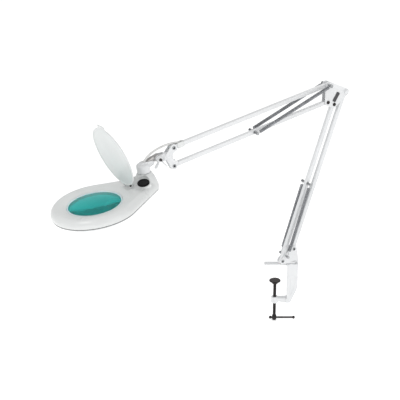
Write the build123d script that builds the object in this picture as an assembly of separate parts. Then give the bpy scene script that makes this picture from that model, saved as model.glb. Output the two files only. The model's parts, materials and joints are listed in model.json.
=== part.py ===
from build123d import *
import os
from math import atan2, cos, degrees, hypot, radians, sin, sqrt

# Clamp-on magnifying lamp. Millimetres, +Z up. The origin is the centre of the upper jaw's
# clamping face, which rests on the table top; until export everything is drawn about the
# vertical swivel axis of the arm instead. The jaws reach out along -X. The arm works in an
# upright plane through the swivel axis that stands SWING degrees round from the jaws at rest.
# Points in that plane are (u, z) pairs, u counted outward from the swivel axis and n square
# to the plane.

# ---- driving dimensions ----
SWING = 29.0            # arm plane against the clamp plane
ARM_1 = 411.0           # lower arm, pin to pin
ARM_2 = 422.0           # upper arm, pin to pin
TUBE = 10.0             # square arm tube
TUBE_WALL = 1.0
TUBE_END = 7.0          # tube past its pin
PLUG_FLANGE = 1.2
PIN_R = 2.5
RUN = 0.06              # radial running clearance on every pivot
CHEEK_IN = 5.6          # bracket cheeks, inner and outer face from the mid plane
CHEEK_OUT = 7.4
PIN_HEAD = 1.8

LEAN = 19.4             # lower arm, back from upright
DROP = 12.4             # upper arm, below level
PIN_A = (-31.5, 18.3)   # foot of the lower front tube
BASE_PAIR = (32.5, 27.0)        # from the front pivot to the rear pivot
ELBOW_STEP = (-18.2, 7.2)       # from the lower front pivot to the upper arm's lower pivot
UPPER_PAIR = 42.4       # upright spacing of the upper arm's pivots

SPRING_N = 15.5         # springs either side of the mid plane
SPRING_R = 4.25
SPRING_WIRE = 1.2
STUD_AT = 207.0         # spring stud along the tube
HOOK = (8.7, 13.5)      # lower spring hook from the front pivot
ROD_R = 2.0

CLAMP_HALF = 10.0       # half depth of the clamp spine
JAW_HALF = 7.5          # half depth of both jaws
JAW_TIP = -70.0
JAW_T = 4.5
SPINE_IN = -11.0
SPINE_OUT = 16.0
CLAMP_FOOT = -105.5
LOWER_JAW_TOP = -93.0
SCREW_X = -41.5
SCREW_R = 4.0           # M8
PAD_TOP = -44.0
PAD_R = 14.5
BAR_Z = -152.0
BAR_R = 2.4
BAR_LEN = 60.0
BAR_SHIFT = 20.0        # how far the tommy bar is slid over

NOSE_U = -350.5         # flange of the rolling fork
NOSE_Z = 346.9
BOLT_U = -363.5         # cross bolt of the head joint
POST_BASE = (-397.0, 318.1)
HEAD_TILT = 8.0
HEAD_YAW = 7.0
NECK = 131.0            # lens centre to neck post
CREST = 25.0            # crown of the neck above the lens plane
HEAD_R = 97.0
LOBE_R = 28.5
LENS_OPEN = 61.0
LENS_R = 64.5
LID_R = 71.5
LID_X = 9.5             # lid centre from the lens centre, towards the neck
LID_OPEN = 78.0
HINGE_X = 86.0          # lid hinge line from the lens centre
HINGE_H = 12.5

# ---- arm geometry ----
D1 = (sin(radians(LEAN)), cos(radians(LEAN)))
D2 = (-cos(radians(DROP)), -sin(radians(DROP)))


def step(p, d, length=1.0):
    return (p[0] + d[0] * length, p[1] + d[1] * length)


PIN_B = step(PIN_A, BASE_PAIR)
PIN_H1 = step(PIN_A, D1, ARM_1)
PIN_H2 = step(PIN_B, D1, ARM_1)
PIN_E = step(PIN_H1, ELBOW_STEP)
PIN_G = step(PIN_E, (0, UPPER_PAIR))
PIN_P = step(PIN_E, D2, ARM_2)
PIN_Q = step(PIN_G, D2, ARM_2)
STUD_1 = step(PIN_A, D1, STUD_AT)
STUD_2 = step(PIN_E, D2, STUD_AT)
HOOK_1 = step(PIN_A, HOOK)
BOLT = (BOLT_U, NOSE_Z)

ARM_FRAME = Rot(0, 0, SWING)
HEAD_UP = (-sin(radians(HEAD_TILT)), cos(radians(HEAD_TILT)))
HEAD_ORIGIN = step(POST_BASE, HEAD_UP, -CREST)
HEAD_FRAME = (ARM_FRAME * Pos(HEAD_ORIGIN[0], 0, HEAD_ORIGIN[1])
              * Rot(0, -HEAD_TILT, 0) * Rot(0, 0, HEAD_YAW))
LENS_FRAME = HEAD_FRAME * Pos(-NECK, 0, 0)
POST_FRAME = ARM_FRAME * Pos(HEAD_ORIGIN[0], 0, HEAD_ORIGIN[1]) * Rot(0, -HEAD_TILT, 0)


# ---- helpers ----
def plate(sketch, n0, n1):
    """Sketch drawn in (u, z), given thickness from n0 to n1 across the arm plane."""
    return extrude(Plane.XZ.offset(-n1) * sketch, amount=n1 - n0)


def hull(*circles):
    edges = []
    for u, z, r in circles:
        edges += (Pos(u, z) * Circle(r)).edges()
    return make_hull(edges)


def pin(p, r, n0, n1):
    return plate(Pos(p[0], p[1]) * Circle(r), n0, n1)


def along(p, q):
    """Location at p in the arm plane with +X pointing to q."""
    return Pos(p[0], 0, p[1]) * Rot(0, -degrees(atan2(q[1] - p[1], q[0] - p[0])), 0)


def upright(r, z0, z1):
    return Pos(0, 0, z0) * Cylinder(r, z1 - z0, align=(Align.CENTER, Align.CENTER, Align.MIN))


def ring(r_out, r_in, z0, z1):
    return upright(r_out, z0, z1) - upright(r_in, z0 - 1, z1 + 1)


def lathe(points):
    """Revolve an (r, z) outline about Z."""
    return revolve(Plane.XZ * make_face(Polyline(*points, close=True)), Axis.Z)


def tube(p, q, holes):
    length = hypot(q[0] - p[0], q[1] - p[1]) + 2 * TUBE_END
    bar = Box(length, TUBE, TUBE)
    bar = fillet(bar.edges().filter_by(Axis.X), 1.3)
    bore = Box(length + 2, TUBE - 2 * TUBE_WALL, TUBE - 2 * TUBE_WALL)
    bar = along(p, q) * Pos(length / 2 - TUBE_END, 0, 0) * (bar - bore)
    for point, r in holes:
        bar -= pin(point, r, -TUBE, TUBE)
    return bar


def plug(p, q, hole_r=PIN_R + RUN):
    """Nylon end plug of the tube p to q, at the p end."""
    inner = TUBE - 2 * TUBE_WALL - 0.1
    body = Pos(-TUBE_END + 7.5, 0, 0) * Box(15, inner, inner)
    cap = Pos(-TUBE_END - PLUG_FLANGE / 2, 0, 0) * Box(PLUG_FLANGE, TUBE, TUBE)
    cap = fillet(cap.edges().filter_by(Axis.X), 1.3)
    return along(p, q) * (body + cap) - pin(p, hole_r, -TUBE, TUBE)


def headed_pin(p, r=PIN_R, half=CHEEK_OUT, head_r=4.2):
    heads = [plate(Pos(p[0], p[1]) * Circle(head_r), half, half + PIN_HEAD),
             plate(Pos(p[0], p[1]) * Circle(head_r), -half - PIN_HEAD, -half)]
    heads[0] = fillet(heads[0].edges().group_by(Axis.Y)[-1], 0.8)
    heads[1] = fillet(heads[1].edges().group_by(Axis.Y)[0], 0.8)
    return pin(p, r, -half, half) + heads[0] + heads[1]


def spring(p, q, side, eye_r, tail):
    """Tension spring from the hook at p to its last coil, tail short of q."""
    length = hypot(q[0] - p[0], q[1] - p[1])
    wire = SPRING_WIRE / 2
    start = eye_r + 5
    coil_len = length - tail - start
    turn = Rot(0, 90, 0)
    coil = Pos(start, 0, 0) * turn * ring(SPRING_R, SPRING_R - SPRING_WIRE, 0, coil_len)
    end_plate = Pos(start, 0, 0) * turn * upright(SPRING_R - 0.3, -SPRING_WIRE, 0.1)
    far_plate = Pos(start + coil_len, 0, 0) * turn * upright(SPRING_R - 0.3, -0.1, SPRING_WIRE)
    loop = Rot(90, 0, 0) * Torus(eye_r, wire)
    link = Pos(eye_r, 0, 0) * turn * upright(wire, 0, start - eye_r - 0.5)
    part = coil + end_plate + far_plate + loop + link
    return along(p, q) * Pos(0, side * SPRING_N, 0) * part


def spring_eye(p, q, side, eye_r, tail):
    """Tail loop of the spring at q, with its shank back to the last coil."""
    wire = SPRING_WIRE / 2
    loop = Rot(90, 0, 0) * Torus(eye_r, wire)
    shank = Pos(eye_r, 0, 0) * Rot(0, 90, 0) * upright(wire, 0, tail - eye_r - SPRING_WIRE - 0.3)
    return along(q, p) * Pos(0, side * SPRING_N, 0) * (loop + shank)


def wing_nut(directions, length, hub_r, hub_len, bore_r):
    """Wing nut on the -Y side: hub along -Y from the origin, wings as rounded ears."""
    hub = plate(Circle(hub_r), -hub_len, 0)
    hub += plate(Circle(hub_r + 1.6), -1.6, 0)
    for angle in directions:
        ear = make_hull((Pos(hub_r - 1.5, 3 - hub_len) * Circle(2.2)).edges()
                        + (Pos(length - 5.5, -2 - hub_len) * Circle(5.5)).edges())
        hub += Rot(0, -angle, 0) * extrude(Plane.XY * ear, amount=1.3, both=True)
    hub -= plate(Circle(bore_r), -hub_len - 8, 8)
    return hub


parts = {}

# ---- clamp: one casting, bushed socket for the swivel ----
profile = make_face([
    Polyline((JAW_TIP, 0), (SPINE_IN, 0), (SPINE_IN, LOWER_JAW_TOP), (-50, LOWER_JAW_TOP)),
    Line((-50, LOWER_JAW_TOP), (-50, -101)),
    Line((-50, -101), (-10, CLAMP_FOOT)),
    Spline((-10, CLAMP_FOOT), (3.5, -92), (13.0, -69), (SPINE_OUT, -44),
           tangents=[(1, -0.05), (0, 1)]),
    Polyline((SPINE_OUT, -44), (SPINE_OUT, JAW_T), (JAW_TIP, JAW_T), (JAW_TIP, 0))])
frame = extrude(Plane.XZ * profile, amount=CLAMP_HALF, both=True)
for side in (-1, 1):
    frame -= Pos(SPINE_IN - 53, side * (JAW_HALF + 10), -50) * Box(100, 20, 140)
corner = frame.edges().filter_by(Axis.Z).group_by(Axis.X)[0]
frame = fillet(corner, 5)
frame += Pos(SCREW_X, 0, 0) * upright(8.8, -107.5, LOWER_JAW_TOP + 2)
frame += upright(9.9, JAW_T - 1, JAW_T + 1)
for side in (-1, 1):
    pocket = make_face(Polyline((-3, -30), (9.5, -30), (9.5, -46), (5, -72), (-3, -84), close=True))
    cut = plate(pocket, side * CLAMP_HALF - 1.2, side * CLAMP_HALF + 1.2)
    frame -= cut
frame -= Pos(SCREW_X, 0, 0) * upright(SCREW_R + RUN, -120, -80)
frame -= upright(6.0, -26, 10)
parts["clamp_frame"] = frame
bush = ring(6.0, 5.0 + RUN, -25, JAW_T + 1) + ring(9.0, 5.0 + RUN, JAW_T + 1, JAW_T + 2)
parts["swivel_bush"] = bush

# ---- clamp screw, pressure pad and tommy bar ----
pad = lathe([(0, PAD_TOP), (PAD_R - 1.5, PAD_TOP), (PAD_R, PAD_TOP - 1), (PAD_R, PAD_TOP - 2.6),
             (7.5, PAD_TOP - 6), (7.5, PAD_TOP - 9), (3.2, PAD_TOP - 9), (3.2, PAD_TOP - 7.6),
             (4.3, PAD_TOP - 6.4), (4.3, PAD_TOP - 4.2), (3.0, PAD_TOP - 3), (0, PAD_TOP - 3)])
parts["pressure_pad"] = Pos(SCREW_X, 0, 0) * pad
nose_top = PAD_TOP - 3.35
stem = lathe([(0, nose_top), (2.7, nose_top), (4.0, nose_top - 1.1), (4.0, nose_top - 2.6),
              (2.85, nose_top - 4), (2.85, nose_top - 6.6), (SCREW_R, nose_top - 7.6),
              (SCREW_R, BAR_Z + 8), (5.6, BAR_Z + 6.5), (5.6, BAR_Z - 5), (4.6, BAR_Z - 6.2),
              (0, BAR_Z - 6.2)])
stem -= Pos(0, 0, BAR_Z) * Rot(0, 90, 0) * Cylinder(BAR_R + 0.25, 30)
parts["clamp_screw"] = Pos(SCREW_X, 0, 0) * stem
bar_mid = SCREW_X + BAR_SHIFT
parts["tommy_bar"] = Pos(bar_mid, 0, BAR_Z) * Rot(0, 90, 0) * Cylinder(BAR_R, BAR_LEN)
balls = []
for side in (-1, 1):
    ball = Sphere(3.9) - Rot(0, 90, 0) * Pos(0, 0, -side * 5) * Cylinder(BAR_R, 10)
    balls.append(Pos(bar_mid + side * BAR_LEN / 2, 0, BAR_Z) * ball)
parts["tommy_bar_balls"] = balls

# ---- swivel bracket at the foot of the arm ----
cheek = hull((*PIN_A, 7.6), (*PIN_B, 8.5), (-11, 11, 2.6), (13, 11, 2.6))
bracket = plate(cheek, CHEEK_IN, CHEEK_OUT) + plate(cheek, -CHEEK_OUT, -CHEEK_IN)
bracket += Pos(1, 0, 9.6) * Box(27, 2 * CHEEK_OUT, 2.4)
bracket += Pos(1, 0, 9.6) * extrude(Circle(11), amount=1.2, both=True)
for p in (PIN_A, PIN_B):
    bracket -= pin(p, PIN_R, -20, 20)
bracket -= pin(HOOK_1, ROD_R, -20, 20)
bracket -= upright(5.0, 0, 20)
parts["base_bracket"] = ARM_FRAME * bracket
spigot = upright(5.0, -23, 10.8)
spigot += lathe([(0, 10.8), (5.2, 10.8), (5.2, 11.8), (3.6, 12.9), (0, 12.9)])
parts["swivel_spigot"] = spigot
parts["thrust_washer"] = ring(10.5, 5.0, JAW_T + 2.3, 8.4)
parts["base_pins"] = [ARM_FRAME * headed_pin(p) for p in (PIN_A, PIN_B)]
studs = []
for side in (-1, 1):
    lo, hi = sorted((side * CHEEK_IN, side * 18.2))
    cap = sorted((side * 18.2, side * 19.6))
    studs.append(ARM_FRAME * (pin(HOOK_1, ROD_R, lo, hi) + pin(HOOK_1, 3.4, *cap)))
parts["base_spring_studs"] = studs

# ---- lower arm ----
run_r = PIN_R + RUN
parts["lower_front_tube"] = ARM_FRAME * tube(PIN_A, PIN_H1, [(PIN_A, run_r), (PIN_H1, run_r),
                                                             (STUD_1, ROD_R)])
parts["lower_rear_tube"] = ARM_FRAME * tube(PIN_B, PIN_H2, [(PIN_B, run_r), (PIN_H2, run_r)])
parts["lower_front_plugs"] = [ARM_FRAME * plug(PIN_A, PIN_H1), ARM_FRAME * plug(PIN_H1, PIN_A)]
parts["lower_rear_plugs"] = [ARM_FRAME * plug(PIN_B, PIN_H2), ARM_FRAME * plug(PIN_H2, PIN_B)]


def spring_rod(p):
    """Cross rod through a tube with a collar against each wall and a cap at each end."""
    rod = pin(p, ROD_R, -18.2, 18.2)
    for n0, n1, r in ((-19.8, -18.2, 3.6), (18.2, 19.8, 3.6), (5.0, 7.5, 4.2), (-7.5, -5.0, 4.2)):
        rod += pin(p, r, n0, n1)
    return ARM_FRAME * rod


parts["lower_spring_rod"] = spring_rod(STUD_1)
SPRINGS = (("lower", HOOK_1, STUD_1, 3.2), ("upper", PIN_G, STUD_2, 3.8))
for name, start, end, eye in SPRINGS:
    for label, side in (("near", -1), ("far", 1)):
        parts[f"{name}_spring_{label}"] = ARM_FRAME * spring(start, end, side, eye, 13)
    parts[f"{name}_spring_eyes"] = [ARM_FRAME * spring_eye(start, end, side, 3.2, 13)
                                    for side in (-1, 1)]

# ---- elbow ----
elbow_outline = hull((*PIN_E, 8.8), (*PIN_G, 8.8), (*PIN_H1, 8.6), (*PIN_H2, 9.0))
elbow_holes = [(p, PIN_R) for p in (PIN_E, PIN_G, PIN_H1)] + [(PIN_H2, 3.0)]
insert_at = (PIN_E[0] + 22.6, PIN_E[1] + 10.8)
insert_box = Pos(*insert_at) * Rot(0, 0, 57.7) * RectangleRounded(23, 7, 1.5)
parts["elbow_plates"] = []
for n0, n1 in ((-CHEEK_OUT, -CHEEK_IN), (CHEEK_IN, CHEEK_OUT)):
    side_plate = plate(elbow_outline, n0, n1)
    for p, r in elbow_holes:
        side_plate -= pin(p, r, -20, 20)
    side_plate -= plate(insert_box, -CHEEK_OUT - 1, CHEEK_OUT + 1)
    parts["elbow_plates"].append(ARM_FRAME * side_plate)
insert_lip = Pos(*insert_at) * Rot(0, 0, 57.7) * RectangleRounded(25, 9, 2)
parts["elbow_inserts"] = [
    ARM_FRAME * (plate(insert_box, -CHEEK_OUT, -CHEEK_IN) + plate(insert_lip, -8.6, -CHEEK_OUT)),
    ARM_FRAME * (plate(insert_box, CHEEK_IN, CHEEK_OUT) + plate(insert_lip, CHEEK_OUT, 8.6))]
parts["elbow_pins"] = [ARM_FRAME * headed_pin(p) for p in (PIN_E, PIN_H1)]
parts["elbow_spring_pin"] = ARM_FRAME * headed_pin(PIN_G, half=18.4, head_r=4.4)
spacer_at = (PIN_E[0] + 14, PIN_E[1] + 27)
spacer = pin(spacer_at, 3.6, -CHEEK_IN, CHEEK_IN)
parts["elbow_spacer"] = ARM_FRAME * spacer
elbow_bolt = pin(PIN_H2, 3.0, -CHEEK_OUT, 20) - pin(PIN_H2, 9, -5.0, 5.0)
elbow_bolt += pin(PIN_H2, PIN_R, -5.0, 5.0)
elbow_bolt += plate(Pos(*PIN_H2) * RegularPolygon(5.4, 6), -11, -CHEEK_OUT)
far_nut = Rot(0, 0, 180) * wing_nut((-157, -97), 27, 6.0, 9, 3.0 + RUN)
parts["elbow_wing_nut"] = ARM_FRAME * Pos(PIN_H2[0], 8.0, PIN_H2[1]) * far_nut
washer = pin(PIN_H2, 7.5, CHEEK_OUT, 7.85) - pin(PIN_H2, 3.0, 0, 20)
parts["elbow_bolt"] = [ARM_FRAME * elbow_bolt, ARM_FRAME * washer]

# ---- upper arm ----
parts["upper_bottom_tube"] = ARM_FRAME * tube(PIN_E, PIN_P, [(PIN_E, run_r), (PIN_P, run_r),
                                                             (STUD_2, ROD_R)])
cable_exit = step(PIN_Q, D2, -18.5)
top_tube = tube(PIN_G, PIN_Q, [(PIN_G, run_r), (PIN_Q, run_r)])
exit_hole = along(cable_exit, PIN_G) * Pos(-3, 0, 6) * Box(26, 6.6, 6)
parts["upper_top_tube"] = ARM_FRAME * (top_tube - exit_hole)
parts["upper_bottom_plugs"] = [ARM_FRAME * plug(PIN_E, PIN_P), ARM_FRAME * plug(PIN_P, PIN_E)]
parts["upper_top_plugs"] = [ARM_FRAME * plug(PIN_G, PIN_Q), ARM_FRAME * plug(PIN_Q, PIN_G)]
parts["upper_spring_rod"] = spring_rod(STUD_2)
sleeve = Box(16, TUBE + 2.4, TUBE + 2.4) - Box(28, TUBE, TUBE)
parts["cable_sleeve"] = ARM_FRAME * (along(cable_exit, PIN_G) * sleeve - exit_hole)

# ---- head bracket, fork and cross bolt ----
nose_circle = (NOSE_U + 14, NOSE_Z, 10.0)
bracket_outline = hull((*PIN_P, 8.5), (*PIN_Q, 8.5), nose_circle)
bite = hull((PIN_P[0] + 8, NOSE_Z - 3, 10.5), (PIN_P[0] + 8, NOSE_Z + 0.5, 10.5))
head_bracket = plate(bracket_outline, CHEEK_IN, CHEEK_OUT) + plate(bracket_outline, -CHEEK_OUT, -CHEEK_IN)
nose_hub = Pos(NOSE_U + 3.2, 0, NOSE_Z) * Rot(0, 90, 0) * upright(8.6, 0, 14)
head_bracket -= nose_hub
head_bracket += nose_hub
for p in (PIN_P, PIN_Q):
    head_bracket -= pin(p, PIN_R, -20, 20)
head_bracket -= plate(bite, -20, 20)
head_bracket -= Pos(NOSE_U, 0, NOSE_Z) * Rot(0, 90, 0) * upright(4.0 + RUN, 0, 22)
parts["head_bracket"] = ARM_FRAME * head_bracket
parts["head_bracket_pins"] = [ARM_FRAME * headed_pin(p) for p in (PIN_P, PIN_Q)]

fork_eye = hull((*BOLT, 8.0), (NOSE_U + 1, NOSE_Z, 8.0))
fork = plate(fork_eye, 5.3, 8.3) + plate(fork_eye, -8.3, -5.3)
fork -= Pos(NOSE_U + 10.3, 0, NOSE_Z) * Box(20, 30, 30)
flange = Pos(NOSE_U - 0.6, 0, NOSE_Z) * Rot(0, 90, 0) * upright(11.0, 0, 3.2)
fork += flange
fork -= pin(BOLT, 3.0, -20, 20)
parts["roll_fork"] = ARM_FRAME * fork
axle = Pos(NOSE_U + 2.6, 0, NOSE_Z) * Rot(0, 90, 0) * upright(4.0, 0, 15.0)
axle += Pos(NOSE_U + 17.6, 0, NOSE_Z) * Rot(0, 90, 0) * upright(5.2, 0, 2.2)
parts["roll_axle"] = ARM_FRAME * axle
tilt_bolt = pin(BOLT, 3.0, -21, 8.3) + plate(Pos(*BOLT) * RegularPolygon(5.4, 6), 8.3, 12)
tilt_washer = pin(BOLT, 7.6, -8.8, -8.3) - pin(BOLT, 3.0, -20, 20)
parts["tilt_bolt"] = [ARM_FRAME * tilt_bolt, ARM_FRAME * tilt_washer]
near_nut = wing_nut((-130, -50), 23, 5.8, 8.5, 3.0 + RUN)
parts["head_wing_nut"] = ARM_FRAME * Pos(BOLT[0], -8.95, BOLT[1]) * near_nut

# ---- knuckle: steel link and turned socket on the neck post ----
socket_top = CREST + 21.0
link_end = step(HEAD_ORIGIN, HEAD_UP, socket_top - 6)
link = plate(hull((*BOLT, 7.8), (BOLT[0] - 14, BOLT[1] - 1, 4.6)), -4.9, 4.9)
link += plate(hull((BOLT[0] - 14, BOLT[1] - 1, 4.6), (*link_end, 4.6)), -4.9, 4.9)
link -= pin(BOLT, 3.0 + RUN, -20, 20)
link -= (Pos(HEAD_ORIGIN[0], 0, HEAD_ORIGIN[1]) * Rot(0, -HEAD_TILT, 0)
         * upright(6.0 + RUN, CREST - 5, CREST + 14))
socket = lathe([(6.0 + RUN, CREST + 0.5), (14.2, CREST + 0.5), (15, CREST + 1.4), (15, socket_top - 4),
                (13.6, socket_top - 1.2), (10.5, socket_top), (0, socket_top), (0, CREST + 14),
                (6.0 + RUN, CREST + 14)])
shoulder = plate(hull((*link_end, 9.5), (BOLT[0] - 15.5, BOLT[1] - 8.5, 5.5)), -7.5, 7.5)
shoulder += plate(hull((*link_end, 9.5), (link_end[0] + 3, link_end[1] - 8, 9.5)), -7.5, 7.5)
CABLE_R = 2.5
EXIT_FRAME = along(cable_exit, PIN_G)
cable_points = [(EXIT_FRAME * Pos(x, 0, z)).position for x, z in ((26, 0), (5, 0), (-9, 9))]
cable_points += [Vector(u, 0, z) for u, z in ((-351, 371.8), (-386, 357), (-399, 338.8))]
entry = Plane(origin=cable_points[-1], z_dir=cable_points[-2] - cable_points[-1])
cable_hole = extrude(entry * Circle(CABLE_R + 0.05), amount=12, both=True)
parts["knuckle_link"] = ARM_FRAME * (link - cable_hole)
clear_post = POST_FRAME * upright(6.0 + RUN, CREST - 30, CREST + 14)
neck_socket = POST_FRAME * socket + ARM_FRAME * shoulder
neck_socket -= POST_FRAME * upright(40, CREST - 40, CREST + 0.5)
parts["neck_socket"] = neck_socket - ARM_FRAME * (link + cable_hole) - clear_post
cable_radii = []
for before, at, after in zip(cable_points, cable_points[1:], cable_points[2:]):
    run = min((at - before).length, (after - at).length)
    turn = radians((at - before).get_angle(after - at))
    cable_radii.append(min(0.45 * run / max(sin(turn / 2) / cos(turn / 2), 0.01), 120))
print("cable bend radii", [round(r, 1) for r in cable_radii])
route = FilletPolyline(*cable_points, radius=cable_radii)
section = Plane(origin=cable_points[0], z_dir=cable_points[1] - cable_points[0]) * Circle(CABLE_R)
parts["head_cable"] = ARM_FRAME * sweep(section, path=route)
print("cable length", round(route.length, 1))

# ---- head housing: round head, raised neck dome, two shells ----
def teardrop(r_head, r_lobe):
    return make_hull(Circle(r_head).edges() + (Pos(NECK, 0) * Circle(r_lobe)).edges())


SEAM = -16.0
outer = loft([Plane.XY.offset(SEAM) * teardrop(HEAD_R - 0.8, LOBE_R),
              Plane.XY.offset(-8) * teardrop(HEAD_R, LOBE_R),
              Plane.XY.offset(-1) * teardrop(HEAD_R - 3.4, LOBE_R - 1.6),
              Plane.XY.offset(4.5) * teardrop(HEAD_R - 11, LOBE_R - 5)], ruled=False)
dome_side = Spline((LOBE_R - 0.6, SEAM + 6), (LOBE_R - 2.4, 3), (LOBE_R - 6, 13.5), (17.2, CREST - 1.5),
                   tangents=[(0, 1), (-0.55, 1)])
dome_edge = Polyline((17.2, CREST - 1.5), (16.0, CREST), (0, CREST), (0, SEAM + 6),
                     (LOBE_R - 0.6, SEAM + 6))
dome = revolve(Plane.XZ * make_face([dome_side, dome_edge]), Axis.Z)
ridge = loft([Plane.YZ.offset(78) * (Pos(0, -6) * Rectangle(70, 18)),
              Plane.YZ.offset(NECK - 6) * (Pos(0, 4) * Rectangle(36, 36))])
ridge = fillet(ridge.edges().filter_by(lambda e: e.center().Z > 0 and abs(e.center().Y) > 10), 9)
SWITCH_AT = (NECK - 17, -22.0)
switch_place = Pos(SWITCH_AT[0], SWITCH_AT[1], 9.5) * Rot(13, -8, 0) * Rot(0, 0, -40)
shell = outer + Pos(NECK, 0, 0) * dome + ridge + switch_place * upright(16.2, -14, 2.2)
bowl = lathe([(0, -3), (LENS_OPEN, -1.6), (LENS_OPEN + 1.0, -0.2), (LENS_OPEN + 7, 2.2),
              (LENS_OPEN + 16, 4.5), (LENS_OPEN + 18, 9), (0, 9)])
shell -= bowl
shell -= Pos(LID_X, 0, 0) * lathe([(0, 4.5), (LID_R + 1.5, 4.5), (LID_R + 3.5, 24), (0, 24)])
inner = loft([Plane.XY.offset(SEAM - 0.5) * teardrop(HEAD_R - 3.2, LOBE_R - 2.5),
              Plane.XY.offset(-8) * teardrop(HEAD_R - 2.6, LOBE_R - 2.5),
              Plane.XY.offset(-2.6) * teardrop(HEAD_R - 7, LOBE_R - 5)], ruled=False)
well = lathe([(0, -30), (LENS_R + 3.6, -30), (LENS_R + 3.6, -1.6), (0, -1.6)])
throat = Pos(NECK, 0, 0) * lathe([(0, SEAM), (LOBE_R - 5, SEAM), (LOBE_R - 8, 4), (9, 15), (0, 15)])
shell -= inner + throat - well
shell -= upright(LENS_OPEN, -30, 8)
shell -= ring(LENS_R + 0.3, LENS_OPEN - 1, -30, -3.0)
shell -= Pos(NECK, 0, 0) * upright(6.0, 10, 30)
pocket = switch_place * upright(12.2, -14, 14)
shell -= pocket
shell -= switch_place * upright(16.4, 2.2, 20)
hinge_slot = Pos(HINGE_X + 1, 0, HINGE_H + 0.9) * Box(15, 27, 20)
shell -= hinge_slot
parts["housing_top"] = LENS_FRAME * shell

# ---- lower shell, lens and light ----
lower = loft([Plane.XY.offset(SEAM - 0.8) * teardrop(HEAD_R - 1.4, LOBE_R - 0.6),
              Plane.XY.offset(-20) * teardrop(HEAD_R - 2.4, LOBE_R - 1.6),
              Plane.XY.offset(-22.5) * teardrop(HEAD_R - 6, LOBE_R - 5)], ruled=True)
lower -= extrude(Plane.XY.offset(-20.5) * teardrop(HEAD_R - 5, LOBE_R - 4), amount=10)
WINDOW_R = 89.0
lower -= upright(WINDOW_R, -30, -10)
SCREWS = [(NECK - 26, -24), (NECK - 26, 24), (NECK + 12, 0)]
for x, y in SCREWS:
    lower -= Pos(x, y, 0) * upright(1.6, -30, -10)
parts["housing_bottom"] = LENS_FRAME * lower
screw = upright(1.6, -23.1, -19.5) + upright(3.2, -24.2, -22.5)
screw -= Pos(0, 0, -24.2) * Box(4, 0.8, 1.2) + Pos(0, 0, -24.2) * Box(0.8, 4, 1.2)
parts["housing_screws"] = [LENS_FRAME * Pos(x, y, 0) * screw for x, y in SCREWS]


def sag(r, top, height, rim):
    """Height of a spherical lens face at radius r."""
    big = (rim * rim + height * height) / (2 * height)
    return top - (big - sqrt(big * big - r * r))


LENS_RIM = 60.4
lens_face = [(r, sag(r, 3.0, 6.3, LENS_RIM)) for r in (0, 12, 24, 36, 48, LENS_RIM)]
top_face = Spline(*lens_face, tangents=[(1, 0), (1, -0.2105)])
low_face = Spline(*[(r, -10.9 - z) for r, z in reversed(lens_face)], tangents=[(-1, -0.2105), (-1, 0)])
lens_rim = Polyline((LENS_RIM, -3.3), (LENS_R, -3.3), (LENS_R, -7.6), (LENS_RIM, -7.6))
lens_outline = make_face([top_face, lens_rim, low_face, Line((0, -13.9), (0, 3.0))])
parts["lens"] = LENS_FRAME * revolve(Plane.XZ * lens_outline, Axis.Z)
lens_ring = lathe([(LENS_OPEN, -7.8), (LENS_R - 0.1, -7.8), (LENS_R - 0.1, -16.4),
                   (LENS_R + 3.4, -16.4), (LENS_R + 3.4, -21.6), (LENS_R + 2.6, -22.4),
                   (LENS_OPEN, -22.4)])
parts["lens_ring"] = LENS_FRAME * lens_ring
diffuser = lathe([(LENS_R + 3.5, -20.4), (WINDOW_R + 2.2, -20.4), (WINDOW_R + 2.2, -18.6),
                  (LENS_R + 3.5, -18.6)])
parts["diffuser"] = LENS_FRAME * diffuser
parts["led_board"] = LENS_FRAME * ring(88.0, 72.0, -6.2, -4.6)
LED_COUNT = 48
led = Pos(80, 0, -6.75) * Box(3.5, 2.8, 1.1)
parts["leds"] = [LENS_FRAME * Rot(0, 0, 360 * i / LED_COUNT) * led for i in range(LED_COUNT)]
board = Pos(NECK - 14, 8, -15.5) * Box(34, 26, 1.6)
for x, y, size, height in ((-22, 12, 8, 9), (-10, 12, 6, 6), (-3, 0, 5, 3), (-24, 0, 5, 3)):
    board += Pos(NECK + x, y, -14.7 + height / 2) * Box(size, size, height)
parts["driver_board"] = LENS_FRAME * board

# ---- rocker switch ----
bezel = upright(13.6, 2.25, 3.6)
bezel = fillet(bezel.edges().group_by(Axis.Z)[-1], 0.6)
bezel += upright(12.0, -8, 2.5)
bezel -= upright(11.3, -6.5, 14)
axle_hole = Rot(90, 0, 0) * Cylinder(0.9, 23.2)
bezel -= axle_hole
parts["switch_bezel"] = LENS_FRAME * switch_place * bezel
rocker = upright(10.8, -2.6, 4.8)
rocker -= Pos(0, 0, 64.2) * Rot(90, 0, 0) * Cylinder(60, 30)
rocker += Rot(90, 0, 0) * Cylinder(0.82, 22.8)
parts["switch_rocker"] = LENS_FRAME * switch_place * rocker

# ---- neck post ----
post = upright(6.0, 11.5, CREST + 13.4) + upright(8.2, 11.5, 14.8)
parts["neck_post"] = HEAD_FRAME * post

# ---- flip-up lid on its hinge ----
lug_side = hull((HINGE_X, HINGE_H, 3.3), (HINGE_X + 1, 6.8, 3.3), (HINGE_X + 5, 6.8, 3.3))
hinge_bore = pin((HINGE_X, HINGE_H), 1.5, -20, 20)
lugs = [LENS_FRAME * (plate(lug_side, y0, y0 + 3) - hinge_bore) for y0 in (-12.8, 9.8)]
parts["lid_hinge_lugs"] = lugs
hinge_pin = pin((HINGE_X, HINGE_H), 1.5, -13.4, 13.4)
hinge_pin += pin((HINGE_X, HINGE_H), 2.4, -14.4, -12.8) + pin((HINGE_X, HINGE_H), 2.4, 12.8, 14.4)
parts["lid_hinge_pin"] = LENS_FRAME * hinge_pin
lid = lathe([(0, 7.6), (40, 7.2), (LID_R - 3.2, 6.4), (LID_R - 1.6, 5.0), (LID_R, 5.2), (LID_R, 7.2),
             (LID_R - 1.4, 8.4), (40, 9.4), (0, 9.8)])
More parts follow.
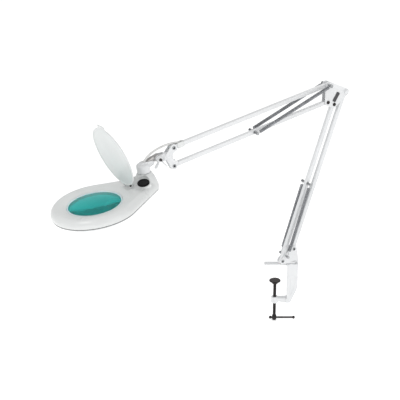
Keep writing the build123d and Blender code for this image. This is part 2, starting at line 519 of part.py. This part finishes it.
tongue = hull((HINGE_X, HINGE_H, 3.2), (HINGE_X - 13, 8.2, 1.2))
lid = Pos(LID_X, 0, 0) * lid + plate(tongue, -9.3, 9.3)
lid += Pos(LID_X - LID_R - 2, 0, 6.6) * extrude(RectangleRounded(10, 30, 4), amount=0.9, both=True)
lid -= pin((HINGE_X, HINGE_H), 1.5 + RUN, -20, 20)
LID_FRAME = LENS_FRAME * Pos(HINGE_X, 0, HINGE_H) * Rot(0, LID_OPEN, 0) * Pos(-HINGE_X, 0, -HINGE_H)
parts["lid"] = LID_FRAME * lid

# ---- export: everything above stands about the swivel axis, the row frame's origin is the
# centre of the upper jaw's clamping face, on the screw axis ----
ROW = Pos(-SCREW_X, 0, 0)
os.makedirs("parts", exist_ok=True)
for name, shape in parts.items():
    solids = shape if isinstance(shape, list) else [shape]
    group = Compound(children=[ROW * solid for item in solids for solid in item.solids()])
    group.label = name
    export_step(group, f"parts/{name}.step")
    print(name, len(group.solids()), round(group.volume, 1))
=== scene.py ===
import json
import math

import bmesh
import bpy
from mathutils import Matrix, Vector


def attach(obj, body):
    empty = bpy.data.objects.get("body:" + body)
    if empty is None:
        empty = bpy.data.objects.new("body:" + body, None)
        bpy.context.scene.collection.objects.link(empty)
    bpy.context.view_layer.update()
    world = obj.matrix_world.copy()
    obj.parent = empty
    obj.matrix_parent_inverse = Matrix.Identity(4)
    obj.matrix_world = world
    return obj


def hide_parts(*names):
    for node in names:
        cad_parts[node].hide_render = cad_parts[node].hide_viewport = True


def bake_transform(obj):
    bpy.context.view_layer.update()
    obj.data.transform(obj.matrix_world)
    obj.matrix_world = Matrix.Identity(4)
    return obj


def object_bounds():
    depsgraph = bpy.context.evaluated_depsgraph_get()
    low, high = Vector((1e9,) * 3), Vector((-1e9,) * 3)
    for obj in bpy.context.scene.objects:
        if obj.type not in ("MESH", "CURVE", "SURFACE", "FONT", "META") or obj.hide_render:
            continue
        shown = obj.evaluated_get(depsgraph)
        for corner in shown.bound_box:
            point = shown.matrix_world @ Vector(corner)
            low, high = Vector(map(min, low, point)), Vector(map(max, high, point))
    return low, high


# Clamp-on magnifying lamp: finishes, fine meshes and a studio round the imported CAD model. Lengths are
# millimetres until arm() or a matrix scaled by MM turns them into metres.
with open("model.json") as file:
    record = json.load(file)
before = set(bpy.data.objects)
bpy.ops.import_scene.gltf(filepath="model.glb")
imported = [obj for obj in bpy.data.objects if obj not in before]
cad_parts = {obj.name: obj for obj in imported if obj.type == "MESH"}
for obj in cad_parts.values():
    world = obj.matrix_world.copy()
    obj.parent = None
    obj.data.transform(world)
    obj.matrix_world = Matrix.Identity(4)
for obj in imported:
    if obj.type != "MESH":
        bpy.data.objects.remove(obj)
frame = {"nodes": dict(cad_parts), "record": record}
cad_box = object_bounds()
nodes = frame["nodes"]
MM = 0.001
TO_METRES = Matrix.Scale(MM, 4)

# ---- the arm plane: u runs along it from the swivel axis, z is up, n points to its far side ----
SWIVEL_X = 41.5
SWING = math.radians(29.0)
U = Vector((math.cos(SWING), math.sin(SWING), 0))
N = Vector((-math.sin(SWING), math.cos(SWING), 0))
Z = Vector((0, 0, 1))


def arm(u, z, n=0.0):
    """Point of the arm plane in the model's frame, in metres."""
    return (Vector((SWIVEL_X, 0, 0)) + U * u + N * n + Z * z) * MM


def arm_matrix(u, z, n=0.0):
    """Axes U, N, Z at a point of the arm plane, for meshes in millimetres."""
    m = Matrix((U, N, Z)).transposed().to_4x4()
    m.translation = arm(u, z, n)
    return m @ TO_METRES


def along(p, length, angle):
    """Point of the plane at a distance and direction from p."""
    return (p[0] + length * math.cos(angle), p[1] + length * math.sin(angle))


# ---- pivots of the two parallelograms, as (u, z) ----
LOWER_LENGTH = 411
UPPER_LENGTH = 422
STUD_AT = 207                               # spring stud, from the pin at the start of its tube
ELBOW_RISE = 42.4                           # between the two pins of the upper arm
UP = math.pi / 2 - math.radians(19.4)
DOWN = math.pi + math.radians(12.4)
PIN_A = (-31.5, 18.3)
PIN_B = (1.0, 45.3)
ELBOW_FRONT = along(PIN_A, LOWER_LENGTH, UP)
PIN_E = (ELBOW_FRONT[0] - 18.2, ELBOW_FRONT[1] + 7.2)
PIN_G = (PIN_E[0], PIN_E[1] + ELBOW_RISE)
PIN_P = along(PIN_E, UPPER_LENGTH, DOWN)
PIN_Q = along(PIN_G, UPPER_LENGTH, DOWN)
LOWER_STUD = along(PIN_A, STUD_AT, UP)
UPPER_STUD = along(PIN_E, STUD_AT, DOWN)
LOWER_HOOK = (PIN_A[0] + 8.7, PIN_A[1] + 13.5)

# ---- the head: its post leans by TILT, and the lens lies SPAN from the neck ----
TILT = math.radians(8.0)
YAW = math.radians(7.0)
POST_TOP = (-397.0, 318.1)
POST_LENGTH = 25
SPAN = 131.0
POST_FOOT = (POST_TOP[0] + POST_LENGTH * math.sin(TILT), POST_TOP[1] - POST_LENGTH * math.cos(TILT))
HEAD = (arm_matrix(*POST_FOOT) @ Matrix.Rotation(-TILT, 4, "Y")) @ Matrix.Rotation(YAW, 4, "Z")
LENS = HEAD @ Matrix.Translation((-SPAN, 0, 0))

# ---- materials ----
PATCH_RAMP = (0.3, 0.7)                     # noise values where the slow patches begin and end
EDGE_RAMP = (0.86, 0.985)                   # bevelled against true normal: worn edge to flat face
GRAIN_DEPTH = 0.04 * MM


def material(name, colour, rough, metal=0.0, grain=900.0, bump=0.15, patch=18.0, shift=0.06,
             rough_shift=0.08, wear=None, wear_at=0.6, edge=0.35, **sockets):
    """Procedural finish: fine grain in the bump, slow patches in colour and roughness, and worn or
    grimy edges where wear gives their colour."""
    mat = bpy.data.materials.new(name)
    mat.use_nodes = True
    tree = mat.node_tree
    shader = tree.nodes["Principled BSDF"]
    link = tree.links.new

    def node(kind, **inputs):
        made = tree.nodes.new("ShaderNode" + kind)
        for key, value in inputs.items():
            made.inputs[key].default_value = value
        return made

    def ramp(source, places, first, last):
        made = node("ValToRGB")
        for element, position, shade in zip(made.color_ramp.elements, places, (first, last)):
            element.position = position
            element.color = [*shade, 1]
        link(source, made.inputs["Fac"])
        return made.outputs["Color"]

    def product(first, second):
        made = node("Math")
        made.operation = "MULTIPLY"
        link(first, made.inputs[0])
        if isinstance(second, float):
            made.inputs[1].default_value = second
        else:
            link(second, made.inputs[1])
        return made.outputs["Value"]

    place = node("TexCoord")
    fine = node("TexNoise", Scale=grain, Detail=3.0)
    slow = node("TexNoise", Scale=patch, Detail=4.0)
    link(place.outputs["Object"], fine.inputs["Vector"])
    link(place.outputs["Object"], slow.inputs["Vector"])
    colour_out = ramp(slow.outputs["Fac"], PATCH_RAMP, [c * (1 - shift) for c in colour], colour)
    bevel = node("Bevel", Radius=edge * MM)
    bevel.samples = 4
    if wear:
        compare = node("VectorMath")
        compare.operation = "DOT_PRODUCT"
        link(bevel.outputs["Normal"], compare.inputs[0])
        link(node("NewGeometry").outputs["Normal"], compare.inputs[1])
        mask = ramp(compare.outputs["Value"], EDGE_RAMP, (1, 1, 1), (0, 0, 0))
        blend = node("Mix")
        blend.data_type = "RGBA"
        link(product(product(mask, slow.outputs["Fac"]), float(wear_at)), blend.inputs[0])
        link(colour_out, blend.inputs[6])
        blend.inputs[7].default_value = [*wear, 1]
        colour_out = blend.outputs[2]
    link(colour_out, shader.inputs["Base Color"])
    gloss = node("MapRange")
    gloss.inputs["To Min"].default_value = max(0.02, rough - rough_shift)
    gloss.inputs["To Max"].default_value = min(1, rough + rough_shift)
    link(slow.outputs["Fac"], gloss.inputs["Value"])
    link(gloss.outputs["Result"], shader.inputs["Roughness"])
    relief = node("Bump", Strength=bump, Distance=GRAIN_DEPTH)
    link(fine.outputs["Fac"], relief.inputs["Height"])
    link(bevel.outputs["Normal"], relief.inputs["Normal"])
    link(relief.outputs["Normal"], shader.inputs["Normal"])
    shader.inputs["Metallic"].default_value = metal
    for key, value in sockets.items():
        shader.inputs[key.replace("_", " ")].default_value = value
    return mat


FINISH = {
    "white_paint": material("white_powder_coat", (0.79, 0.80, 0.81), 0.34, grain=1400, bump=0.35,
                            wear=(0.5, 0.5, 0.5), wear_at=0.5, Coat_Weight=0.15, Coat_Roughness=0.2),
    "white_plastic": material("white_moulded_plastic", (0.76, 0.775, 0.77), 0.3, grain=2600, bump=0.2,
                              wear=(0.6, 0.6, 0.59), wear_at=0.35, Specular_IOR_Level=0.5),
    "grey_nylon": material("natural_nylon", (0.6, 0.61, 0.62), 0.5, grain=700, bump=0.25,
                           wear=(0.4, 0.4, 0.4), Subsurface_Weight=0.1),
    "dark_steel": material("oiled_steel", (0.05, 0.045, 0.045), 0.36, 1.0, grain=1800, bump=0.5,
                           shift=0.4, wear=(0.3, 0.28, 0.26), wear_at=0.9, rough_shift=0.14),
    "zinc_steel": material("zinc_plate", (0.42, 0.43, 0.44), 0.3, 1.0, grain=2200, bump=0.35,
                           patch=60, shift=0.2, wear=(0.2, 0.2, 0.2), wear_at=0.6),
    "spring_steel": material("spring_wire", (0.4, 0.41, 0.43), 0.26, 1.0, grain=3000, bump=0.3,
                             patch=40, shift=0.3, edge=0.1),
    "chrome": material("nickel_plate", (0.5, 0.49, 0.48), 0.14, 1.0, grain=500, bump=0.12,
                       patch=90, shift=0.25, rough_shift=0.06, wear=(0.12, 0.11, 0.1), wear_at=0.5),
    "black_plastic": material("black_moulded_plastic", (0.006, 0.006, 0.007), 0.34, grain=2400,
                              bump=0.3, shift=0.3, wear=(0.05, 0.05, 0.05), wear_at=0.6,
                              Specular_IOR_Level=0.22),
    "dark_nylon": material("dark_nylon", (0.06, 0.06, 0.065), 0.5, grain=1500, bump=0.4,
                           shift=0.25, wear=(0.16, 0.16, 0.16), wear_at=0.8),
    "diffuser_plastic": material("opal_acrylic", (0.86, 0.88, 0.88), 0.4, grain=900, bump=0.1,
                                 Subsurface_Weight=0.3),
    "board": material("solder_mask", (0.02, 0.11, 0.045), 0.35, grain=1200, bump=0.3, patch=220,
                      shift=0.5),
    "led": material("led_package", (0.85, 0.78, 0.4), 0.35, grain=1500, bump=0.2, patch=300,
                    shift=0.2),
    "cable_white": material("cable_sheath", (0.7, 0.7, 0.69), 0.42, grain=1600, bump=0.35,
                            patch=50, shift=0.1, edge=0.1),
    "lens_glass": material("tinted_glass", (0.004, 0.46, 0.43), 0.02, grain=40, bump=0.02, patch=14,
                           shift=0.2, rough_shift=0.01, edge=0.3, Transmission_Weight=0.75,
                           IOR=1.3, Specular_IOR_Level=0.35),
}
for entry in frame["record"]["subparts"]:
    shown = nodes[entry["node"]]
    shown.data.materials.clear()
    shown.data.materials.append(FINISH[entry["material_slot"]])


# ---- mesh helpers ----
def mesh_piece(name, verts, faces, slot, place):
    """Smooth-shaded mesh, put in place by a matrix that also turns it into metres where needed."""
    mesh = bpy.data.meshes.new(name)
    mesh.from_pydata([tuple(v) for v in verts], [], faces)
    mesh.validate()
    work = bmesh.new()
    work.from_mesh(mesh)
    bmesh.ops.remove_doubles(work, verts=work.verts, dist=0.00001)
    bmesh.ops.recalc_face_normals(work, faces=work.faces)
    work.to_mesh(mesh)
    work.free()
    mesh.transform(place)
    mesh.polygons.foreach_set("use_smooth", [True] * len(mesh.polygons))
    mesh.materials.append(FINISH[slot])
    piece = bpy.data.objects.new(name, mesh)
    bpy.context.scene.collection.objects.link(piece)
    return piece


def lathe(name, outline, slot, place, steps, groove=None):
    """Closed turned shape from an (r, z) outline. groove gives how far the surface lies below the
    outline at a share of a turn and a height."""
    verts, rows, faces = [], [], []
    for r, z in outline:
        if r < 1e-6:
            rows.append([len(verts)])
            verts.append((0, 0, z))
            continue
        rows.append(list(range(len(verts), len(verts) + steps)))
        for i in range(steps):
            radius = r - groove(i / steps, z) if groove else r
            a = math.tau * i / steps
            verts.append((radius * math.cos(a), radius * math.sin(a), z))
    for low, high in zip(rows, rows[1:]):
        for i in range(steps):
            j = (i + 1) % steps
            corners = [low[i % len(low)], low[j % len(low)], high[j % len(high)], high[i % len(high)]]
            corners = list(dict.fromkeys(corners))
            if len(corners) > 2:
                faces.append(corners)
    return mesh_piece(name, verts, faces, slot, place)


def tube(name, path, radius, slot, sides, place):
    """Round wire or cable along a list of points, closed at both ends."""
    verts, faces = [], []
    points = [Vector(p) for p in path]
    across = None
    for i, p in enumerate(points):
        ahead = points[min(i + 1, len(points) - 1)] - points[max(i - 1, 0)]
        ahead.normalize()
        if across is None:
            across = ahead.orthogonal()
        across = (across - ahead * across.dot(ahead)).normalized()
        beside = ahead.cross(across)
        for k in range(sides):
            a = math.tau * k / sides
            verts.append(p + (across * math.cos(a) + beside * math.sin(a)) * radius)
    for i in range(len(points) - 1):
        for k in range(sides):
            m = (k + 1) % sides
            faces.append((i * sides + k, i * sides + m, (i + 1) * sides + m, (i + 1) * sides + k))
    faces.append(tuple(reversed(range(sides))))
    faces.append(tuple(range((len(points) - 1) * sides, len(points) * sides)))
    return mesh_piece(name, verts, faces, slot, place)


def torus(name, radius, thick, slot, place):
    """Rolled lip round an opening, a little flatter than it is wide."""
    around, sides = 36, 14
    lip = [(radius + thick * math.cos(a), 0.9 * thick * math.sin(a))
           for a in (math.tau * i / sides for i in range(sides))]
    verts, faces = [], []
    for i in range(around):
        a = math.tau * i / around
        verts += [(r * math.cos(a), r * math.sin(a), z) for r, z in lip]
    for i in range(around):
        here = i * sides
        ahead = (i + 1) % around * sides
        for k in range(sides):
            m = (k + 1) % sides
            faces.append((here + k, ahead + k, ahead + m, here + m))
    return mesh_piece(name, verts, faces, slot, place)


def soften(name, voxel, rounds):
    """Rounds every edge and crease of a cast or moulded CAD node."""
    remesh = nodes[name].modifiers.new("soften", "REMESH")
    remesh.mode = "VOXEL"
    remesh.voxel_size = voxel * MM
    remesh.use_smooth_shade = True
    smooth = nodes[name].modifiers.new("smooth", "SMOOTH")
    smooth.factor = 0.5
    smooth.iterations = rounds


def cut(piece, cutter):
    """Takes the cutter's volume out of the piece."""
    tool = piece.modifiers.new("cut", "BOOLEAN")
    tool.operation = "DIFFERENCE"
    tool.solver = "EXACT"
    tool.object = cutter
    bpy.context.view_layer.update()
    done = bpy.data.meshes.new_from_object(piece.evaluated_get(bpy.context.evaluated_depsgraph_get()))
    piece.modifiers.clear()
    piece.data = done
    bpy.data.objects.remove(cutter)


# ---- balance springs: close-wound wire on a loop at the hook, and a hook for the stud ----
WIRE_R = 0.6
COIL_R = 3.65
COIL_PITCH = 1.34
SIDEWAYS = 15.5                             # the springs' distance from the arm plane
STUD_LOOP_R = 3.2
TAIL = 8.5                                  # from the last turn to the stud
SHANK = 10.0                                # length of the hook's shank inside the turns
PER_TURN = 14
SPRINGS = {
    "lower": {"start": LOWER_HOOK, "end": LOWER_STUD, "eye": 3.2, "lead": 12.0, "lift": 0.0,
              "holder": "lower_front"},
    "upper": {"start": PIN_G, "end": UPPER_STUD, "eye": 3.8, "lead": 2.2, "lift": 2.0,
              "holder": "upper_bottom"},
}


def wire_loop(centre, radius, begin, spread):
    """Almost a full turn of wire round a stud, spread sideways to pass beside itself."""
    points = []
    for i in range(31):
        a = begin + math.tau * 0.93 * i / 30
        points.append((centre + radius * math.cos(a), spread * (i / 15 - 1), radius * math.sin(a)))
    return points


def spring(row, label, side, start, end, eye, lead, lift, holder):
    """The loop on the hook has radius eye, and the turns begin lead past it. They stop TAIL short of the
    stud, whose own hook has a shank that slides inside the last turns. At rest the shank lies lift above
    the coil's axis, to keep clear of the turns as the arm moves."""
    length = math.dist(start, end)
    slope = math.atan2(end[1] - start[1], end[0] - start[0])
    place = arm_matrix(*start, side * SIDEWAYS) @ Matrix.Rotation(-slope, 4, "Y")
    first = eye + lead
    last = length - TAIL
    path = wire_loop(0, eye, math.pi * 0.25, side * 0.25)
    path.append((eye + 0.35 * lead, 0.2 * side, 0.3))
    steps = round((last - first) / COIL_PITCH) * PER_TURN
    for i in range(steps + 1):
        a = math.tau * i / PER_TURN
        r = WIRE_R + (COIL_R - WIRE_R) * min(1.0, i / 10)
        path.append((first + (last - first) * i / steps, r * math.sin(a), r * math.cos(a)))
    coil = tube(f"{row}_coil_{label}", path, WIRE_R, "spring_steel", 7, place)
    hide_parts(f"{row}_spring_{label}", f"{row}_spring_eyes")
    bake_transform(coil)
    path = [(last - SHANK, 0, lift), (last - 0.5 * SHANK, 0, lift), (last, 0, lift),
            (last + 0.5 * (TAIL - STUD_LOOP_R), 0.1, 0.15 + 0.6 * lift)]
    path += wire_loop(length, STUD_LOOP_R, math.pi * 0.93, 0.25)
    hook = tube(f"{row}_stud_loop_{label}", path, WIRE_R, "spring_steel", 7, place)
    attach(hook, holder)


for label, side in (("near", -1), ("far", 1)):
    for row, sizes in SPRINGS.items():
        spring(row, label, side, **sizes)

# ---- cable over the head joint, held by the sleeve and the neck ----
BACK = DOWN - math.pi
EXIT = along(PIN_Q, 18.5, BACK)
CABLE_R = 2.5


def from_exit(x, z):
    """Point x back along the upper tube from where the cable leaves it, and z across it."""
    return along(along(EXIT, x, BACK), z, BACK + math.pi / 2)


ROUTE = [from_exit(26, 0), from_exit(5, 0), from_exit(-9, 9), (-351, 371.8), (-386, 357),
         (-399, 338.8)]


def nurbs(points):
    """Smooth line through the route, read back as points from a NURBS spline."""
    curve = bpy.data.curves.new("route", "CURVE")
    curve.dimensions = "3D"
    curve.resolution_u = 24
    line = curve.splines.new("NURBS")
    line.points.add(len(points) - 1)
    for point, (u, z) in zip(line.points, points):
        point.co = [*arm(u, z), 1]
    line.order_u = 3
    line.use_endpoint_u = True
    holder = bpy.data.objects.new("route", curve)
    bpy.context.scene.collection.objects.link(holder)
    bpy.context.view_layer.update()
    mesh = bpy.data.meshes.new_from_object(holder)
    found = [v.co.copy() for v in mesh.vertices]
    bpy.data.objects.remove(holder)
    return found


# One run for each joint that the cable crosses; each run ends at the u in ENDS. Each row of LINKS gives
# a run's first body, its second body and two values of u; the runs are baked in place and these values
# are not used.
ENDS = (-334.0, -357.0)
LINKS = (("upper_top", "head_bracket", -313, -333), ("head_bracket", "fork", -334.5, -356.5),
         ("fork", "knuckle", -357.5, -384))
runs = [[], [], []]
for point in nurbs(ROUTE):
    u = (point - arm(0, 0)).dot(U) / MM
    runs[sum(u <= end for end in ENDS)].append(point)
runs[0].append(runs[1][0])
runs[1].append(runs[2][0])
for index, (points, (near, far, start, end)) in enumerate(zip(runs, LINKS)):
    piece = tube(f"cable_run_{index + 1}", points, CABLE_R * MM, "cable_white", 20, Matrix.Identity(4))
    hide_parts("head_cable")
    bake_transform(piece)

# Rubber lip where the cable enters the neck
leaves = runs[2][-1] - runs[2][-3]
entry = (Matrix.Translation(arm(-396.2, 342.7)) @ leaves.to_track_quat("Z", "Y").to_matrix().to_4x4()
         @ TO_METRES)
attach(torus("cable_entry_lip", 3.3, 0.9, "cable_white", entry), "knuckle")

# ---- clamp screw with its rolled thread, and the cross hole for the sliding bar ----
SCREW_R = 4.0
NOSE_Z = -47.35
BAR_Z = -152
BAR_HOLE_R = 2.68
THREAD_TOP = NOSE_Z - 8.2
THREAD_FOOT = BAR_Z + 9
THREAD_PITCH = 1.25
THREAD_DEPTH = 0.62
THREAD_FADE = 2


def thread(turn, z):
    """Depth of the thread's groove, fading out at both ends."""
    if not THREAD_FOOT < z < THREAD_TOP:
        return 0.0
    phase = (z / THREAD_PITCH - turn) % 1.0
    fade = min(1.0, (z - THREAD_FOOT) / THREAD_FADE, (THREAD_TOP - z) / THREAD_FADE)
    return THREAD_DEPTH * fade * (1 - abs(2 * phase - 1))


nose = [(0, NOSE_Z), (2.7, NOSE_Z), (SCREW_R, NOSE_Z - 1.1), (SCREW_R, NOSE_Z - 2.6), (2.85, NOSE_Z - 4),
        (2.85, NOSE_Z - 6.6), (SCREW_R, NOSE_Z - 7.8)]
threaded = THREAD_TOP - THREAD_FOOT
steps = round(threaded / THREAD_PITCH * 10)
shaft = [(SCREW_R, THREAD_TOP - threaded * i / steps) for i in range(steps + 1)]
boss = [(SCREW_R, -144.2), (5.2, -145.2), (5.6, -146.2), (5.7, BAR_Z), (5.6, -156.8), (5.0, -157.9),
        (4.2, -158.15), (0, -158.2)]
screw = lathe("clamp_screw_threaded", nose + shaft + boss, "dark_steel", TO_METRES, 40, thread)
across_boss = Matrix.Translation((0, 0, BAR_Z * MM)) @ Matrix.Rotation(math.pi / 2, 4, "Y") @ TO_METRES
cut(screw, lathe("bar_hole", [(0, -12), (BAR_HOLE_R, -12), (BAR_HOLE_R, 12), (0, 12)], "dark_steel",
                 across_boss, 32))
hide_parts("clamp_screw")
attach(screw, "screw")

# ---- hollow rivets: rolled lip round an open bore at each end ----
CHEEK = 7.4                                 # outer face of a bracket's cheek, from the arm plane
LIP = [(1.9, 0.2), (2.2, 1.2), (2.8, 1.75), (3.5, 1.75), (4.05, 1.2), (4.2, 0.5), (4.2, 0.0), (2.5, 0.0)]


def rivet(name, at, body, node):
    """Tube rivet through both cheeks of a bracket, standing for one headed pin of the node."""
    outline = [(r, CHEEK + z) for r, z in LIP] + [(r, -CHEEK - z) for r, z in reversed(LIP)]
    outline.append(outline[0])
    place = arm_matrix(*at) @ Matrix.Rotation(math.pi / 2, 4, "X")
    piece = lathe(name, outline, "zinc_steel", place, 40)
    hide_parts(node)
    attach(piece, body)


rivet("head_rivet_lower", PIN_P, "head_bracket", "head_bracket_pins")
rivet("head_rivet_upper", PIN_Q, "head_bracket", "head_bracket_pins")
rivet("base_rivet_front", PIN_A, "base_bracket", "base_pins")
rivet("base_rivet_rear", PIN_B, "base_bracket", "base_pins")

# ---- moulded and cast nodes lose their hard creases: voxel size and rounds of smoothing ----
SOFTENED = {"housing_top": (0.75, 14), "neck_socket": (0.45, 10), "clamp_frame": (0.6, 5),
            "elbow_wing_nut": (0.3, 6), "head_wing_nut": (0.3, 6), "lid": (0.6, 4), "roll_fork": (0.4, 4)}
for name, (voxel, rounds) in SOFTENED.items():
    soften(name, voxel, rounds)

# ---- parting seam between the two shells of the head, drawn as a dark wire of painted shade under the upper shell's edge: two arcs and their tangents ----
LENS_END_R = 95.6
NECK_END_R = 26.7
SEAM_Z = -16.5
SEAM_WIRE_R = 0.75


def seam_arc(centre, radius, begin, end, steps):
    """Points of an arc at the seam's height, about a centre on the head's long axis."""
    angles = [begin + (end - begin) * i / steps for i in range(steps + 1)]
    return [(centre + radius * math.cos(a), radius * math.sin(a), SEAM_Z) for a in angles]


tangent = math.acos((LENS_END_R - NECK_END_R) / SPAN)
seam = seam_arc(0, LENS_END_R, tangent, math.tau - tangent, 96)
seam += seam_arc(SPAN, NECK_END_R, -tangent, tangent, 32)
seam.append(seam[0])
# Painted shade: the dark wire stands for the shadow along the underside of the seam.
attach(tube("seam_painted_shade_line", seam, SEAM_WIRE_R, "dark_nylon", 8, LENS), "head")

# ---- lens: smooth biconvex disc with a square-edged rim, and a pale ring round it that paints the bright highlight at the lens edge ----
LENS_R = 60.4
CROWN = 6.3                                 # height of each curved face at the middle
RIM_R = 64.5


def crown(r):
    """Drop of a face below its middle."""
    ball = (LENS_R * LENS_R + CROWN * CROWN) / (2 * CROWN)
    return ball - math.sqrt(ball * ball - r * r)


face = [(LENS_R * i / 24, 3.0 - crown(LENS_R * i / 24)) for i in range(25)]
outline = face + [(RIM_R, -3.3), (RIM_R, -7.6)] + [(r, -10.9 - z) for r, z in reversed(face)]
lens = lathe("lens_glass_disc", outline, "lens_glass", LENS, 192)
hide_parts("lens")
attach(lens, "head")
# Painted highlight: a pale plastic ring at the lens edge stands for the bright rim of light there.
highlight_ring_outline = [(57.6, -2.6), (58.2, -1.7), (59.8, -0.9), (60.9, -1.2), (60.9, -3.2), (60.3, -3.3),
                (57.6, -2.8), (57.6, -2.6)]
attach(lathe("lens_edge_highlight_ring", highlight_ring_outline, "diffuser_plastic", LENS, 160), "head")

# ---- studio, in metres ----
FLOOR_GAP = 0.002
WHITE = (1, 1, 1, 1)
TARGET = Vector((-0.1172, -0.088, 0.1983))
LAMPS = {"key": ((-1.3, -1.4, 1.9), 0.9, 12), "fill": ((1.6, -1.5, 0.9), 1.6, 8),
         "rim": ((0.4, 1.6, 1.6), 1.2, 5)}

work = bmesh.new()
bmesh.ops.create_grid(work, x_segments=2, y_segments=2, size=30)
floor_mesh = bpy.data.meshes.new("floor")
work.to_mesh(floor_mesh)
work.free()
floor = bpy.data.objects.new("floor", floor_mesh)
floor.location = (0, 0, cad_box[0][2] - FLOOR_GAP)
bpy.context.scene.collection.objects.link(floor)
floor_mesh.materials.append(material("paper_floor", (0.99, 0.99, 0.99), 0.9, grain=300, bump=0.05,
                                     patch=2, shift=0.01, Emission_Strength=0.45,
                                     Emission_Color=WHITE))

for name, (at, size, power) in LAMPS.items():
    light = bpy.data.lights.new(name, "AREA")
    light.shape = "DISK"
    light.size = size
    light.energy = power
    holder = bpy.data.objects.new(name, light)
    holder.location = at
    holder.rotation_euler = (TARGET - Vector(at)).to_track_quat("-Z", "Y").to_euler()
    bpy.context.scene.collection.objects.link(holder)

# The sky lights the lamp softly, and is plain white where the camera sees it past the floor.
world = bpy.data.worlds.new("studio")
world.use_nodes = True
sky = world.node_tree.nodes["Background"]
backdrop = world.node_tree.nodes.new("ShaderNodeBackground")
for background, strength in ((sky, 0.62), (backdrop, 1.0)):
    background.inputs["Color"].default_value = WHITE
    background.inputs["Strength"].default_value = strength
rays = world.node_tree.nodes.new("ShaderNodeLightPath")
chosen = world.node_tree.nodes.new("ShaderNodeMixShader")
join = world.node_tree.links.new
join(rays.outputs["Is Camera Ray"], chosen.inputs[0])
join(sky.outputs[0], chosen.inputs[1])
join(backdrop.outputs[0], chosen.inputs[2])
join(chosen.outputs[0], world.node_tree.nodes["World Output"].inputs["Surface"])
bpy.context.scene.world = world

# ---- camera ----
DISTANCE = 2.2
ELEVATION = math.radians(22)
camera_data = bpy.data.cameras.new("camera")
camera_data.lens = 83.66
camera_data.sensor_width = 36
camera_data.shift_x = -0.0725
camera_data.shift_y = 0.01175
camera = bpy.data.objects.new("camera", camera_data)
camera.location = TARGET + Vector((0, -DISTANCE * math.cos(ELEVATION), DISTANCE * math.sin(ELEVATION)))
camera.rotation_euler = (math.pi / 2 - ELEVATION, 0, 0)
bpy.context.scene.collection.objects.link(camera)
bpy.context.scene.camera = camera
bpy.context.scene.view_settings.view_transform = "Standard"

bpy.context.view_layer.update()
